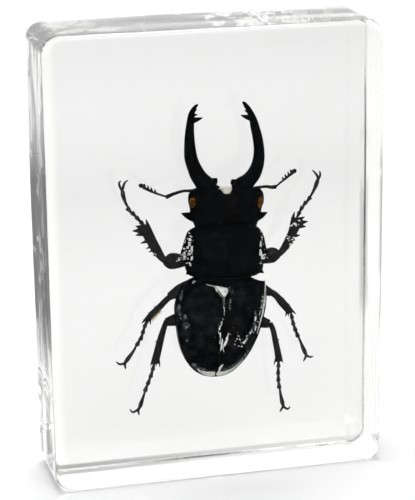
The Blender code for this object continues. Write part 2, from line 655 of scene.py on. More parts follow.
left_jaw = jaw(
    LEFT_JAW_OUTSIDE, LEFT_JAW_INSIDE,
    [
        rod([(-4.4, 23.4, -0.1), (-3.4, 23.9, -0.1), (-2.6, 24.1, 0.0)], (0.9, 0.75, 0.5)),
        rod([(-4.2, 23.0, -0.1), (-3.3, 23.5, 0.0), (-2.75, 23.7, 0.0)], (0.9, 0.7, 0.55)),
        rod([(-3.6, 22.2, -0.3), (-2.6, 22.0, -0.3), (-2.0, 21.7, -0.3)], (0.9, 0.8, 0.65)),
        thorn((-10.0, 38.4, 0.1), (-7.1, 39.2, 0.1), 0.8, bend=(0.0, -0.05, 0.0)),
        thorn((-9.8, 39.6, 0.0), (-8.3, 40.0, 0.0), 0.42),
        thorn((-9.6, 40.6, 0.0), (-8.5, 41.2, 0.0), 0.34),
    ],
)
right_jaw = jaw(
    RIGHT_JAW_OUTSIDE, RIGHT_JAW_INSIDE,
    [
        rod([(2.7, 23.2, -0.1), (1.6, 23.6, -0.1), (0.8, 23.8, 0.0)], (0.9, 0.7, 0.5)),
        rod([(2.4, 22.9, -0.1), (1.5, 23.2, 0.0), (0.85, 23.5, 0.0)], (0.9, 0.65, 0.5)),
        rod([(2.4, 22.0, -0.3), (1.5, 22.0, -0.3), (1.15, 21.9, -0.3)], (0.9, 0.75, 0.6)),
        thorn((5.0, 39.1, 0.1), (2.1, 39.9, 0.1), 0.75, bend=(0.0, -0.05, 0.0)),
        thorn((4.6, 40.4, 0.0), (2.9, 41.0, 0.0), 0.42),
        thorn((4.0, 41.3, 0.0), (2.7, 42.0, 0.0), 0.34),
    ],
)
set_in_resin("jaw_left", left_jaw, SATIN)
set_in_resin("jaw_right", right_jaw, SATIN)

# ---------------------------------------------------------------------------------------------
# Eyes. A domed compound eye at each side of the head, amber brown, made of hundreds of small lens
# facets and set behind the thin rim of the head.

EYES = {                          # where each one is, and its radii
    "left": ((-8.5, 18.8, 0.85), (0.85, 1.35, 1.3)),
    "right": ((7.85, 18.9, 0.85), (0.95, 1.6, 1.3)),
}
FACET_HEIGHT = 0.035
FACET_TOP = 0.7


class NodeTree:
    """A tree of geometry nodes with named inputs, grown on a mesh into a new plain mesh."""

    def __init__(self, name, **inputs):
        self.tree = bpy.data.node_groups.new(name, 'GeometryNodeTree')
        self.tree.interface.new_socket("Geometry", in_out='OUTPUT', socket_type='NodeSocketGeometry')
        self.inputs = {}
        for label, kind in {"Geometry": "Geometry", "Finish": "Material", **inputs}.items():
            socket = self.tree.interface.new_socket(
                label.replace("_", " "), in_out='INPUT', socket_type="NodeSocket" + kind,
            )
            self.inputs[label] = socket.identifier
        self.entry = self.tree.nodes.new("NodeGroupInput")

    def given(self, label):
        return self.entry.outputs[label.replace("_", " ")]

    def node(self, kind, settings=None, inputs=None, output=0):
        node = self.tree.nodes.new(kind)
        for name, value in (settings or {}).items():
            setattr(node, name, value)
        for key, value in (inputs or {}).items():
            if isinstance(value, bpy.types.NodeSocket):
                self.tree.links.new(value, node.inputs[key])
            else:
                node.inputs[key].default_value = value
        return node.outputs[output]

    def math(self, operation, *values):
        return self.node("ShaderNodeMath", {"operation": operation}, dict(enumerate(values)))

    def end(self, shape):
        shape = self.node("GeometryNodeRealizeInstances", inputs={"Geometry": shape})
        inputs = {"Geometry": shape, "Material": self.given("Finish")}
        shape = self.node("GeometryNodeSetMaterial", inputs=inputs)
        leave = self.tree.nodes.new("NodeGroupOutput")
        self.tree.links.new(shape, leave.inputs[0])

    def grow(self, mesh, **values):
        carrier = carried(mesh)
        modifier = carrier.modifiers.new("grow", 'NODES')
        modifier.node_group = self.tree
        for label, value in values.items():
            modifier[self.inputs[label]] = value
        return worked(carrier)


facets = NodeTree("eye facets", Height="Float", Top="Float", Radii="Vector")
globe = facets.node("GeometryNodeMeshIcoSphere", inputs={"Radius": 1.0, "Subdivisions": 4})
hexagons = facets.node("GeometryNodeDualMesh", inputs={"Mesh": globe})
extrude = facets.node(
    "GeometryNodeExtrudeMesh", {"mode": 'FACES'},
    {"Mesh": hexagons, "Offset Scale": facets.given("Height"), "Individual": True},
)
raised = extrude.node.outputs["Top"]
tops = facets.node(
    "GeometryNodeScaleElements",
    inputs={"Geometry": extrude, "Selection": raised, "Scale": facets.given("Top")},
)
oval = facets.node(
    "GeometryNodeTransform", inputs={"Geometry": tops, "Scale": facets.given("Radii")},
)
facets.end(oval)

amber = Finish("amber eye", IOR=1.15)
mottle = amber.noise(0.8, 3.0)
amber.set(
    Base_Color=mottle.colours(
        (0.4, (0.09, 0.032, 0.003)), (0.52, (0.15, 0.057, 0.006)), (0.66, (0.28, 0.12, 0.02)),
    ),
    Roughness=0.3 + 0.2 * amber.cells(6.0),
    Normal=amber.relief(amber.cells(6.0), 0.01),
)

nothing = bpy.data.meshes.new("nothing")
for side, (place, radii) in EYES.items():
    eye = facets.grow(nothing, Finish=amber.material, Height=FACET_HEIGHT, Top=FACET_TOP, Radii=radii)
    eye.transform(Matrix.Translation(place))
    set_in_resin("eye_" + side, eye, amber.material)

# ---------------------------------------------------------------------------------------------
# Mouth. A pale soft lip and a brush of pale hairs between the jaws, with black feelers in pairs
# below them and the black chin plate under the head.

LIP_LEFT = [(-0.8, 20.2), (-1.3, 20.7), (-1.9, 21.4), (-2.4, 22.1), (-1.9, 22.6), (-1.0, 22.5)]
LIP_RIGHT = [(0.1, 20.2), (0.35, 20.7), (0.75, 21.3), (1.0, 21.9), (0.7, 22.6), (0.0, 22.5)]
BRUSH_LEFT = [(-0.8, 20.4), (-0.9, 20.9)]
BRUSH_RIGHT = [(0.0, 20.4), (-0.1, 20.9)]
BRUSH_HAIRS = 20.0                # hairs to the square millimetre
LIP_HEIGHT = 0.8
FEELERS = (
    [(-2.2, 19.6, -2.3), (-3.0, 20.9, -2.6), (-3.1, 22.1, -2.3), (-2.4, 22.9, -1.8)],
    [(1.5, 19.6, -2.3), (2.3, 20.9, -2.6), (2.3, 22.1, -2.3), (1.6, 22.8, -1.8)],
    [(-0.9, 20.4, -2.6), (-1.4, 21.3, -2.8), (-1.3, 22.1, -2.4)],
    [(0.2, 20.4, -2.6), (0.7, 21.3, -2.8), (0.6, 22.0, -2.4)],
)

pale = Finish("pale membrane", IOR=1.1)
cream = pale.noise(1.6, 4.0)
pale.set(
    Base_Color=cream.colours(
        (0.32, (0.7, 0.5, 0.2)), (0.4, (1.0, 0.96, 0.84)), (0.6, (1.0, 1.0, 0.97)),
    ),
    Roughness=0.5 + 0.3 * cream,
    Normal=pale.relief(pale.noise(5.0), 0.03),
)

hairs = NodeTree(
    "hairs", Density="Float", Length="Float", Thickness="Float", Spread="Float", Lean="Vector",
    Seed="Int",
)
roots = hairs.node(
    "GeometryNodeDistributePointsOnFaces", {"distribute_method": 'RANDOM'},
    {"Mesh": hairs.given("Geometry"), "Density": hairs.given("Density"), "Seed": hairs.given("Seed")},
)
hair = hairs.node(
    "GeometryNodeMeshCone", {"fill_type": 'NGON'},
    {"Vertices": 5, "Side Segments": 3, "Radius Top": 0.004, "Radius Bottom": hairs.given("Thickness"),
     "Depth": hairs.given("Length")},
)
wander = hairs.node(
    "FunctionNodeRandomValue", {"data_type": 'FLOAT_VECTOR'},
    {"Min": (-1.0, -1.0, -1.0), "Max": (1.0, 1.0, 1.0), "Seed": hairs.given("Seed")},
)
wander = hairs.node(
    "ShaderNodeVectorMath", {"operation": 'SCALE'}, {0: wander, "Scale": hairs.given("Spread")},
)
heading = hairs.node("ShaderNodeVectorMath", {"operation": 'ADD'}, {0: wander, 1: hairs.given("Lean")})
turned = hairs.node("FunctionNodeAlignRotationToVector", {"axis": 'Z'}, {"Vector": heading})
lengths = hairs.node(
    "FunctionNodeRandomValue", {"data_type": 'FLOAT'},
    {2: 0.6, 3: 1.15, "Seed": hairs.given("Seed")}, output=1,
)
sown = hairs.node(
    "GeometryNodeInstanceOnPoints",
    inputs={"Points": roots, "Instance": hair, "Rotation": turned, "Scale": lengths},
)
hairs.end(sown)


def lip_relief(x, y, z):
    """Soft folds along the lip, which stands level with the roots of the jaws."""
    folds = 0.12 * math.cos(5.0 * (x + 0.4))
    lumps = 0.1 * noise.noise(Vector((x, y, z)) * 2.4)
    return (0.0, folds, LIP_HEIGHT + lumps)


lip = plate(LIP_LEFT, LIP_RIGHT, top=(0.7, 0.9, 0.8, 0.3), bottom=(-0.6, -0.7, -0.3))
reshape(lip, lip_relief)
golden = Finish("golden hair", IOR=1.3, Roughness=0.6)
golden.set(
    Base_Color=golden.noise(2.0).colours((0.35, (0.22, 0.15, 0.01)), (0.65, (0.6, 0.44, 0.08))),
)
brush = hairs.grow(
    plate(BRUSH_LEFT, BRUSH_RIGHT, top=(1.6,), bottom=(0.6,), along=10, around=12),
    Finish=golden.material, Density=BRUSH_HAIRS, Length=0.7, Thickness=0.04, Spread=0.5,
    Lean=(0.0, 0.8, 0.5), Seed=5,
)
set_in_resin("lip", lip, pale.material)
set_in_resin("mouth_brush", brush, pale.material)

chin = plate(
    [(-2.6, 15.4), (-3.1, 17.2), (-3.0, 19.4), (-2.0, 20.9)],
    [(2.4, 15.4), (2.9, 17.2), (2.8, 19.4), (1.6, 20.9)],
    top=(-2.0,), bottom=(-2.9, -3.1, -3.0, -2.6), edge=(-2.3,), belly=(3.0, 0.6), around=48,
)
feelers = [rod(route, (0.24, 0.3, 0.26, 0.3, 0.12), along=36, around=14) for route in FEELERS]
set_in_resin("chin_and_feelers", joined([chin] + feelers), SATIN)

# ---------------------------------------------------------------------------------------------
# Feelers on the head. A long first joint, an elbow, a row of small bead-like joints and a club of
# leaves at the end, all black and only a fraction of a millimetre thick.

ANTENNAE = {
    "left": {
        "first": [
            (-7.6, 21.8, 0.3), (-9.0, 21.5, 0.1), (-10.8, 21.35, -0.3), (-12.8, 20.75, -0.5),
            (-15.0, 19.8, -0.5),
        ],
        "beads": [(-14.8, 19.9, -0.5), (-16.4, 20.45, -0.5), (-17.7, 20.9, -0.5), (-18.6, 21.3, -0.5)],
        "stalk": [(-18.4, 21.2, -0.5), (-19.5, 21.7, -0.5), (-20.7, 22.3, -0.5)],
        "leaves": [
            ((-17.5, 20.9), (-17.8, 21.75)), ((-18.4, 21.3), (-18.7, 22.25)),
            ((-19.25, 21.7), (-19.55, 22.75)), ((-20.05, 22.0), (-20.4, 23.15)),
        ],
        "knob": [(-20.8, 22.4, -0.5), (-21.15, 22.85, -0.5), (-21.1, 23.15, -0.5)],
    },
    "right": {
        "first": [
            (6.4, 22.1, 0.3), (8.1, 22.3, 0.0), (9.7, 22.4, -0.3), (11.1, 22.2, -0.5),
            (12.2, 22.3, -0.5),
        ],
        "beads": [(12.0, 22.2, -0.5), (12.9, 23.05, -0.5), (13.8, 23.8, -0.5), (14.5, 24.4, -0.5)],
        "stalk": [(14.4, 24.3, -0.5), (15.2, 25.0, -0.5), (16.2, 25.8, -0.5)],
        "leaves": [
            ((13.9, 23.9), (13.6, 24.7)), ((14.55, 24.5), (14.2, 25.4)), ((15.2, 25.0), (14.9, 26.0)),
            ((15.8, 25.5), (15.5, 26.6)),
        ],
        "knob": [(16.2, 25.8, -0.5), (16.45, 26.25, -0.5), (16.35, 26.65, -0.5)],
    },
}
BEADS = 6

LEG = black_cuticle(
    "leg cuticle", gloss=0.4, grain_mm=0.14, grain_depth_mm=0.01, bloom=0.3, tint=(0.016, 0.016, 0.016),
)

links = NodeTree("joints along a route", Count="Int", Thickness="Float", Growth="Float", Link="Object")
count = links.given("Count")
curve = links.node("GeometryNodeMeshToCurve", inputs={"Mesh": links.given("Geometry")})
length = links.node("GeometryNodeCurveLength", inputs={"Curve": curve})
ends = links.math('ADD', count, 1.0)
evenly = links.node("GeometryNodeResampleCurve", inputs={"Curve": curve, "Count": ends})
stations = links.node("GeometryNodeCurveToPoints", {"mode": 'EVALUATED'}, {"Curve": evenly})
number = links.node("GeometryNodeInputIndex")
past_the_last = links.math('GREATER_THAN', number, links.math('SUBTRACT', count, 0.5))
kept = links.node(
    "GeometryNodeDeleteGeometry", {"domain": 'POINT'}, {"Geometry": stations, "Selection": past_the_last},
)
grown = links.math('MULTIPLY', links.math('DIVIDE', number, count), links.given("Growth"))
width = links.math('ADD', grown, links.given("Thickness"))
stretch = links.node(
    "ShaderNodeCombineXYZ", inputs={0: width, 1: width, 2: links.math('DIVIDE', length, count)},
)
one_link = links.node("GeometryNodeObjectInfo", inputs={"Object": links.given("Link")}, output=4)
heading = stations.node.outputs["Rotation"]
chain = links.node(
    "GeometryNodeInstanceOnPoints",
    inputs={"Points": kept, "Instance": one_link, "Rotation": heading, "Scale": stretch},
)
links.end(chain)


def turned_link(profile, around=14):
    """One joint of a limb, one unit long and one thick, turned from (height, radius) stops."""
    rings = []
    for up, radius in profile:
        angles = np.linspace(0.0, 2 * math.pi, around, endpoint=False)
        rings.append([(radius * math.cos(a), radius * math.sin(a), up) for a in angles])
    link = bpy.data.objects.new("link", skin(rings))
    bpy.context.scene.collection.objects.link(link)
    return link


def route_mesh(route, count=24):
    """A smooth route as a mesh of edges only."""
    mesh = bpy.data.meshes.new("route")
    mesh.from_pydata(smooth_row(route, count).tolist(), [(i, i + 1) for i in range(count - 1)], [])
    return mesh


bead = turned_link([(-0.06, 0.4), (0.1, 0.62), (0.5, 0.95), (0.78, 1.0), (0.96, 0.72), (1.04, 0.4)])
for side, feeler in ANTENNAE.items():
    first = rod(feeler["first"], (0.38, 0.35, 0.36, 0.42, 0.52), along=50, around=18)
    route = route_mesh(feeler["beads"])
    beads = links.grow(route, Finish=LEG, Count=BEADS, Thickness=0.29, Growth=0.08, Link=bead)
    leaves = [
        rod([(*root, -0.5), (*tip, -0.45)], (0.2, 0.18, 0.22, 0.19, 0.1), along=16, around=14)
        for root, tip in feeler["leaves"]
    ]
    stalk = rod(feeler["stalk"], (0.32, 0.34, 0.4), along=24, around=16)
    knob = rod(feeler["knob"], (0.42, 0.6, 0.62, 0.3), along=16, around=18)
    set_in_resin("antenna_" + side, joined([first, beads, stalk, knob] + leaves), LEG)
bpy.data.objects.remove(bead)

# ---------------------------------------------------------------------------------------------
# Legs. Each has a hip and thigh, a shin with teeth down its outer edge, and a foot of four short
# joints and a long one that ends in two hooked claws. All are black, lighter than the body, and a
# fringe of golden hairs grows on the left middle shin.

FOOT = black_cuticle(
    "foot cuticle", gloss=0.4, grain_mm=0.14, grain_depth_mm=0.01, bloom=0.3, tint=(0.03, 0.03, 0.029),
)
LEG_PLANE = -0.5

LEGS = {
    "fore_leg_left": {
        "thigh": [
            (-2.6, 3.6, -3.9), (-6.2, 3.6, -3.2), (-9.6, 3.8, -1.9), (-12.6, 4.0, -0.9),
            (-13.9, 4.1, -0.6), (-14.7, 4.2, -0.6),
        ],
        "thigh_size": (1.5, 1.45, 1.4, 1.4, 1.35, 1.4, 1.75, 2.0, 1.9, 0.9),
        "inner": [
            (-13.2, 3.5), (-14.3, 5.1), (-15.1, 6.6), (-16.4, 8.9), (-17.4, 10.8), (-18.2, 12.4),
            (-18.7, 13.3),
        ],
        "outer": [
            (-13.7, 3.1), (-15.3, 3.9), (-16.8, 5.3), (-17.9, 6.7), (-19.0, 8.4), (-20.1, 10.3),
            (-20.5, 13.0),
        ],
        "teeth": [
            ((-16.4, 5.5), (-17.5, 5.6), 0.3), ((-17.2, 6.8), (-18.7, 6.3), 0.34),
            ((-17.9, 7.8), (-19.3, 7.1), 0.38), ((-18.6, 9.2), (-20.7, 8.5), 0.5),
            ((-19.4, 11.0), (-22.0, 10.5), 0.65), ((-19.5, 11.7), (-22.8, 11.6), 0.85),
            ((-19.4, 12.2), (-22.1, 12.8), 0.8), ((-18.9, 12.7), (-19.6, 14.6), 0.45),
        ],
        "foot": [(-19.8, 12.8), (-20.7, 13.7), (-22.0, 15.1), (-23.2, 16.1), (-24.1, 17.4)],
        "last": [(-24.0, 17.3), (-24.6, 18.3), (-25.2, 19.7), (-25.7, 21.7)],
        "claws": [[(-25.7, 21.5), (-26.3, 22.5), (-26.5, 23.3), (-26.1, 23.9)],
                  [(-25.6, 21.6), (-25.4, 22.6), (-25.1, 23.4), (-24.4, 24.0)]],
    },
    "fore_leg_right": {
        "thigh": [
            (2.6, 3.5, -3.9), (6.0, 3.5, -3.2), (9.6, 4.3, -1.9), (12.2, 5.15, -0.9),
            (13.4, 5.35, -0.6), (14.3, 5.4, -0.6),
        ],
        "thigh_size": (1.5, 1.45, 1.4, 1.4, 1.35, 1.4, 1.7, 1.95, 1.85, 0.9),
        "inner": [
            (12.9, 5.1), (13.9, 6.5), (14.7, 8.0), (15.4, 9.7), (16.0, 11.3), (16.3, 13.0),
            (16.5, 14.7),
        ],
        "outer": [
            (13.4, 4.3), (14.9, 5.2), (16.1, 6.5), (17.0, 8.0), (17.7, 9.6), (18.7, 11.6), (18.9, 14.6),
        ],
        "teeth": [
            ((15.6, 6.6), (16.7, 7.0), 0.3), ((16.3, 8.0), (17.7, 8.3), 0.34),
            ((16.7, 8.9), (18.2, 9.0), 0.36), ((17.4, 10.0), (19.2, 10.2), 0.5),
            ((17.9, 12.6), (20.5, 12.3), 0.75), ((17.9, 13.2), (20.9, 13.6), 0.8),
            ((17.9, 13.8), (20.0, 14.8), 0.65), ((16.9, 14.2), (17.3, 16.2), 0.45),
        ],
        "foot": [(18.0, 14.7), (18.5, 15.9), (19.1, 17.1), (20.1, 18.4), (21.0, 19.8)],
        "last": [(20.9, 19.7), (21.5, 20.8), (22.1, 22.3), (22.7, 24.3)],
        "claws": [[(22.7, 24.1), (22.4, 24.9), (21.9, 25.6), (21.0, 26.4)],
                  [(22.7, 24.1), (23.0, 24.8), (23.1, 25.5), (22.9, 26.2)]],
    },
    "middle_leg_left": {
        "thigh": [
            (-2.4, -1.6, -3.9), (-5.2, -1.5, -3.3), (-8.2, -2.6, -2.2), (-10.9, -3.9, -1.3),
            (-12.9, -4.9, -0.8),
        ],
        "thigh_size": (1.4, 1.3, 1.5, 1.6, 1.0),
        "inner": [(-11.9, -5.3), (-12.9, -6.1), (-14.3, -7.7), (-16.0, -9.5), (-17.4, -10.9)],
        "outer": [(-12.8, -4.0), (-14.2, -5.2), (-15.8, -6.9), (-17.6, -8.7), (-19.2, -10.8)],
        "teeth": [
            ((-15.6, -7.4), (-16.7, -7.2), 0.24), ((-17.0, -8.8), (-18.1, -8.7), 0.22),
            ((-18.4, -10.4), (-19.5, -11.6), 0.3), ((-17.3, -10.5), (-17.1, -12.0), 0.28),
            ((-17.8, -10.8), (-17.9, -11.9), 0.22),
        ],
        "foot": [(-18.2, -10.9), (-18.6, -12.3), (-18.9, -13.8), (-19.5, -15.3), (-20.4, -17.0)],
        "last": [(-20.4, -16.9), (-20.8, -17.9), (-21.8, -19.5), (-23.0, -21.3)],
        "claws": [[(-22.9, -21.2), (-23.6, -21.6), (-24.4, -21.6), (-25.2, -21.0)],
                  [(-22.9, -21.2), (-23.0, -21.9), (-22.9, -22.3), (-22.8, -22.9)]],
    },
    "middle_leg_right": {
        "thigh": [
            (2.4, -1.6, -3.9), (5.2, -1.5, -3.3), (8.6, -2.5, -2.1), (11.4, -3.8, -1.2),
            (12.8, -4.4, -0.8),
        ],
        "thigh_size": (1.4, 1.3, 1.5, 1.4, 0.95),
        "inner": [(12.2, -4.8), (13.3, -5.5), (14.8, -7.3), (16.3, -8.9), (17.2, -9.8)],
        "outer": [(12.5, -3.2), (13.9, -3.9), (15.5, -5.3), (17.3, -7.1), (18.9, -9.1)],
        "teeth": [
            ((15.3, -5.8), (16.3, -5.7), 0.22), ((16.9, -7.4), (17.9, -7.2), 0.22),
            ((18.3, -8.8), (19.6, -10.0), 0.3), ((17.0, -9.3), (16.8, -10.7), 0.28),
            ((17.5, -9.5), (17.6, -10.6), 0.22),
        ],
        "foot": [(18.1, -9.4), (18.5, -11.0), (19.0, -12.5), (19.6, -14.0), (20.4, -15.7)],
        "last": [(20.4, -15.6), (20.9, -16.6), (21.6, -18.1), (22.8, -20.5)],
        "claws": [[(22.7, -20.4), (23.3, -20.8), (24.0, -21.0), (24.6, -20.8)],
                  [(22.7, -20.4), (22.7, -20.9), (22.5, -21.4), (22.2, -22.1)]],
    },
    "hind_leg_left": {
        "thigh": [
            (-2.2, -8.4, -4.1), (-5.4, -9.2, -3.4), (-8.6, -10.3, -2.3), (-11.6, -11.0, -1.3),
            (-13.3, -11.3, -0.9),
        ],
        "thigh_size": (1.5, 1.3, 1.5, 1.6, 1.05),
        "inner": [(-12.6, -11.2), (-13.0, -12.6), (-13.5, -15.2), (-14.0, -18.3), (-14.6, -21.7)],
        "outer": [(-13.8, -10.6), (-14.5, -12.6), (-15.4, -15.8), (-16.1, -19.0), (-16.7, -21.8)],
        "teeth": [
            ((-15.0, -15.9), (-16.0, -16.3), 0.2), ((-15.8, -20.9), (-16.8, -22.4), 0.3),
            ((-14.6, -20.9), (-14.2, -22.9), 0.28), ((-15.2, -21.2), (-15.2, -22.6), 0.24),
        ],
        "foot": [(-15.7, -21.6), (-16.0, -23.1), (-16.5, -25.0), (-17.1, -26.8), (-17.7, -28.8)],
        "last": [(-17.7, -28.7), (-17.9, -29.6), (-18.3, -31.0), (-18.9, -33.1)],
        "claws": [[(-18.9, -33.0), (-19.7, -33.7), (-20.5, -34.0), (-21.2, -33.2)],
                  [(-18.9, -33.0), (-19.1, -33.7), (-19.0, -34.2), (-18.8, -34.8)]],
    },
    "hind_leg_right": {
        "thigh": [
            (2.2, -8.5, -4.1), (5.2, -9.6, -3.4), (8.5, -10.9, -2.3), (11.4, -12.0, -1.3),
            (12.9, -12.3, -0.9),
        ],
        "thigh_size": (1.5, 1.3, 1.5, 1.6, 1.05),
        "inner": [(12.4, -12.5), (13.0, -13.6), (13.7, -16.2), (14.4, -19.0), (15.0, -22.0)],
        "outer": [(13.5, -11.7), (14.3, -13.2), (15.2, -16.0), (16.1, -19.0), (16.9, -21.8)],
        "teeth": [
            ((14.8, -16.1), (15.9, -16.5), 0.2), ((16.0, -20.9), (17.1, -22.5), 0.3),
            ((15.0, -21.2), (14.6, -23.1), 0.28), ((15.5, -21.5), (15.5, -22.8), 0.24),
        ],
        "foot": [(15.8, -21.7), (15.8, -23.3), (15.9, -25.2), (16.1, -27.1), (16.5, -28.9)],
        "last": [(16.5, -28.8), (16.7, -29.8), (17.1, -31.5), (17.8, -33.7)],
        "claws": [[(17.7, -33.6), (18.3, -34.1), (19.0, -34.4), (19.6, -33.8)],
                  [(17.7, -33.6), (17.5, -34.1), (17.3, -34.5), (17.0, -35.1)]],
    },
}
FOOT_LINKS = 4


def on_leg_plane(points, lift=0.0):
    """Points of the plan, at the height that the legs are spread at."""
    return [(*point, LEG_PLANE + lift) for point in points]


def shin_mesh(leg):
    """The flat blade of the shin with its teeth and end spurs."""
    blade = plate(
        leg["inner"], leg["outer"], top=(0.25, 0.3, 0.3, 0.1), bottom=(-1.1, -1.2, -1.2, -1.0),
        edge=(LEG_PLANE,), crown=(2.2, 0.6), belly=(2.2, 0.6), along=90, around=32,
    )
    teeth = [
        thorn((*root, LEG_PLANE), (*tip, LEG_PLANE - 0.1), size) for root, tip, size in leg["teeth"]
    ]
    return fused([blade] + teeth, grain=0.085, passes=2)


foot_link = turned_link(
    [(-0.05, 0.45), (0.08, 0.55), (0.4, 0.7), (0.75, 1.0), (0.9, 1.05), (1.0, 0.8), (1.03, 0.5)],
)
for name, leg in LEGS.items():
    thigh = fused([rod(leg["thigh"], leg["thigh_size"], along=70, around=30, flat=0.72)], grain=0.13)
    route = route_mesh(on_leg_plane(leg["foot"]))
    foot = links.grow(route, Finish=FOOT, Count=FOOT_LINKS, Thickness=0.54, Growth=0.06, Link=foot_link)
    last = rod(on_leg_plane(leg["last"]), (0.26, 0.32, 0.38, 0.5, 0.55, 0.36), along=40, around=16)
    claws = [
        rod(on_leg_plane(claw, -0.05), (0.3, 0.32, 0.29, 0.23, 0.13), along=26, around=10)
        for claw in leg["claws"]
    ]
    set_in_resin(name + "_thigh", thigh, LEG)
    set_in_resin(name + "_shin", shin_mesh(leg), LEG)
    set_in_resin(name + "_foot", joined([foot, last] + claws), FOOT)
bpy.data.objects.remove(foot_link)

TUFT = [(-14.9, -7.7, 0.0), (-16.0, -8.9, 0.0), (-17.0, -10.1, 0.0)]
TUFT_HAIRS = 14.0                 # hairs to the square millimetre
tuft = hairs.grow(
    rod(TUFT, (0.25, 0.35, 0.3), along=20, around=10), Finish=golden.material, Density=TUFT_HAIRS,
    Length=1.1, Thickness=0.035, Spread=0.5, Lean=(-0.1, -0.8, 0.1), Seed=3,
)
set_in_resin("shin_hairs", tuft, golden.material)

# ---------------------------------------------------------------------------------------------
# Trapped air. In places the resin didn't wet the shell, and a film of air as thin as paper is left
# on it. It shines silver white: on the shield, down the seam, round the tail and on the flanks.
# Fainter grey films down the left flank of the wing case are also a painted highlight there.

FILM_THICKNESS = 0.04
FILM_DEPTH = "film_depth"
FOLD_WIDTH = 0.14
# mesh size, tears and folds to the millimetre, height over the shell, and how full it is
SMOOTH_FILM = {"cell": 0.12, "grain": 1.5, "folds": 0.0, "lift": 0.12, "fill": 1.0}
BROKEN_FILM = {"cell": 0.08, "grain": 2.5, "folds": 0.0, "lift": 0.12, "fill": 0.1}
THIN_FILM = {"cell": 0.14, "grain": 0.8, "folds": 0.0, "lift": 0.06, "fill": 1.0}
CRINKLED_FILM = {"cell": 0.085, "grain": 1.2, "folds": 0.7, "lift": 0.1, "fill": 0.9}
SHELL = ("shield", "waist", "wing_case_left", "wing_case_right")
FLANKS = (
    "fore_thorax", "fore_leg_left_thigh", "fore_leg_right_thigh", "fore_leg_left_shin",
    "fore_leg_right_shin",
)


def height_on(names, x, y):
    """The highest point of some pieces over a place on the plan, or None."""
    above = Vector((x, y, 20.0))
    hits = [SKINS[name].ray_cast(above, Vector((0.0, 0.0, -1.0)))[0] for name in names]
    heights = [hit.z for hit in hits if hit is not None]
    return max(heights) if heights else None


def air_film(names, route, widths, torn, seed, cell, grain, folds, lift, fill):
    """A film of air on some pieces, along a route and as wide as given, torn into patches and, where
    the shell is wrinkled, parted along its folds. It keeps how thick the film is at each point."""
    line = smooth_row(route, 60)
    reach = smooth_values(widths, 60)
    margin = 1.3 * max(widths)
    low = line.min(axis=0) - margin
    across, along = (np.ceil((line.max(axis=0) + margin - low) / cell)).astype(int)
    bm = bmesh.new()
    store = bm.verts.layers.float.new(FILM_DEPTH)
    corners = {}

    def depth(spot):
        near = (np.hypot(*(line - spot).T) / reach).min()
        patch = Vector((*spot * grain, seed))
        tear = noise.noise(patch) + 0.5 * noise.noise(2.7 * patch)
        film = fill - near**2 + torn * tear
        if folds:
            broad = noise.noise(folds * patch)
            fine = noise.noise(1.6 * folds * patch + Vector((9.0, 5.0, 2.0)))
            film = min(film, 5.0 * (min(abs(broad), abs(fine)) - FOLD_WIDTH))
        return film

    def corner(i, j):
        if (i, j) not in corners:
            spot = low + np.array((i, j)) * cell
            height = height_on(names, *spot)
            corners[i, j] = None
            if height is not None:
                wrinkle = 0.05 * noise.noise(Vector((*spot, seed)) * 2.5)
                corners[i, j] = bm.verts.new((*spot, height + lift + wrinkle))
                corners[i, j][store] = depth(spot)
        return corners[i, j]

    for i in range(across):
        for j in range(along):
            if depth(low + np.array((i + 0.5, j + 0.5)) * cell) > 0.0:
                square = [corner(i, j), corner(i + 1, j), corner(i + 1, j + 1), corner(i, j + 1)]
                if None not in square:
                    bm.faces.new(square)
    sheet = bpy.data.meshes.new("film")
    bm.to_mesh(sheet)
    bm.free()
    soften = ('SMOOTH', {"factor": 0.5, "iterations": 3})
    thicken = ('SOLIDIFY', {"thickness": FILM_THICKNESS, "offset": 1.0})
    return evaluated(sheet, soften, thicken)


def air_finish(name, darkest, middle, lightest, full, most, mirror):
    """A film of air, silvery where it is thick and fading out towards its edges. It is at its most
    where its depth is full, and mirror is how much of it is a mirror."""
    finish = Finish(name, Metallic=mirror, IOR=1.4)
    dull = finish.noise(1.2, 4.0)
    finish.set(
        Base_Color=dull.colours((0.34, darkest), (0.46, middle), (0.6, lightest)),
        Roughness=0.2 + 0.3 * dull,
        Alpha=most * finish.stored(FILM_DEPTH).ramp(-0.1, full),
        Normal=finish.relief(finish.noise(2.2, 3.0), 0.08),
    )
    return finish.material


SILVER = air_finish(
    "trapped air", (0.5, 0.51, 0.49), (0.95, 0.96, 0.94), (1.0, 1.0, 0.99),
    full=0.12, most=1.0, mirror=0.7,
)
FROTH = air_finish(
    "crinkled trapped air", (0.85, 0.86, 0.85), (0.98, 0.98, 0.97), (1.0, 1.0, 1.0),
    full=0.05, most=1.0, mirror=0.1,
)
# thin grey films of air; those down the left flank also stand in for its dim highlight, as painted
# highlight
FAINT_AIR_AND_HIGHLIGHT = air_finish(
    "thin trapped air and painted highlight", (0.02, 0.022, 0.026), (0.07, 0.078, 0.09), (0.18, 0.2, 0.22),
    full=1.0, most=0.7, mirror=0.1,
)
DOTS = [
    # x, y, size
    (3.9, -14.9, 0.17), (4.6, -15.1, 0.2), (3.4, -16.3, 0.15), (4.5, -16.8, 0.18), (5.3, -17.0, 0.2),
    (5.5, -15.9, 0.15), (6.4, -14.3, 0.16), (8.1, -13.6, 0.13), (9.2, -11.0, 0.16), (9.8, -10.2, 0.14),
    (2.0, -13.6, 0.13), (9.1, -12.4, 0.12),
]
